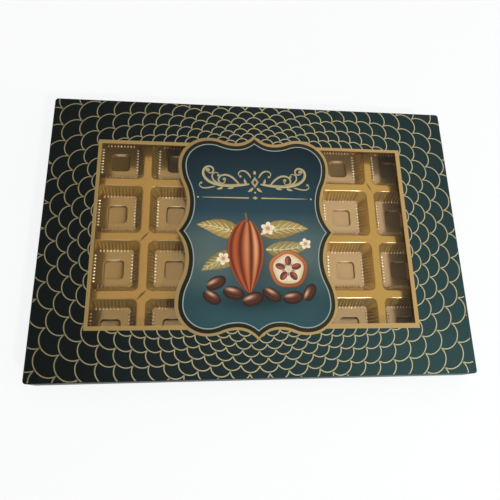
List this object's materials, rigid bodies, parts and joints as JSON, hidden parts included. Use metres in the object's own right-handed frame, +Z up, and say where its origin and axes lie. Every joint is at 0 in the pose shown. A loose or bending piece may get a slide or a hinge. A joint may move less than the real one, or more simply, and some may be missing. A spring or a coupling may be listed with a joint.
{
  "type": "gift box",
  "caption": "Set-up gift box for chocolates: a base, a lift-off lid with film windows either side of a shaped panel, and a loose moulded tray of square ribbed cavities.",
  "frame": {"origin": "middle of the underside", "axes": "+X along the box to the right, +Y to the back, +Z up"},
  "size_m": [0.261, 0.18, 0.0205],
  "materials": {
    "greyboard": "uncoated grey recycled board, matte and slightly fibrous",
    "printed_paper": "dark teal printed paper with gold ink and a soft satin laminate",
    "plain_paper": "plain dark teal paper with a soft satin laminate",
    "corner_tape": "gummed kraft paper tape",
    "clear_film": "clear glossy film",
    "gold_tray": "gold metallised vacuum-formed sheet, thinner and browner down the cavity walls"
  },
  "bodies": {
    "base": {"base_board": "greyboard", "base_wrap": "plain_paper", "base_bottom_sheet": "plain_paper", "base_corner_tape_front_left": "corner_tape", "base_corner_tape_front_right": "corner_tape", "base_corner_tape_back_left": "corner_tape", "base_corner_tape_back_right": "corner_tape"},
    "tray": {"tray": "gold_tray"},
    "lid": {"lid_board": "greyboard", "lid_wrap": "printed_paper", "window_film": "clear_film", "lid_corner_tape_front_left": "corner_tape", "lid_corner_tape_front_right": "corner_tape", "lid_corner_tape_back_left": "corner_tape", "lid_corner_tape_back_right": "corner_tape"}
  },
  "joints": [
    {"name": "lid_lift", "type": "slide", "parent": "base", "child": "lid", "axis": [0, 0, 1], "range_m": [0, 0.06]},
    {"name": "tray_lift", "type": "slide", "parent": "base", "child": "tray", "axis": [0, 0, 1], "range_m": [0, 0.03]}
  ],
  "couplings": [
    {"joint": "tray_lift", "follows": "lid_lift", "ratio": 0.5}
  ]
}
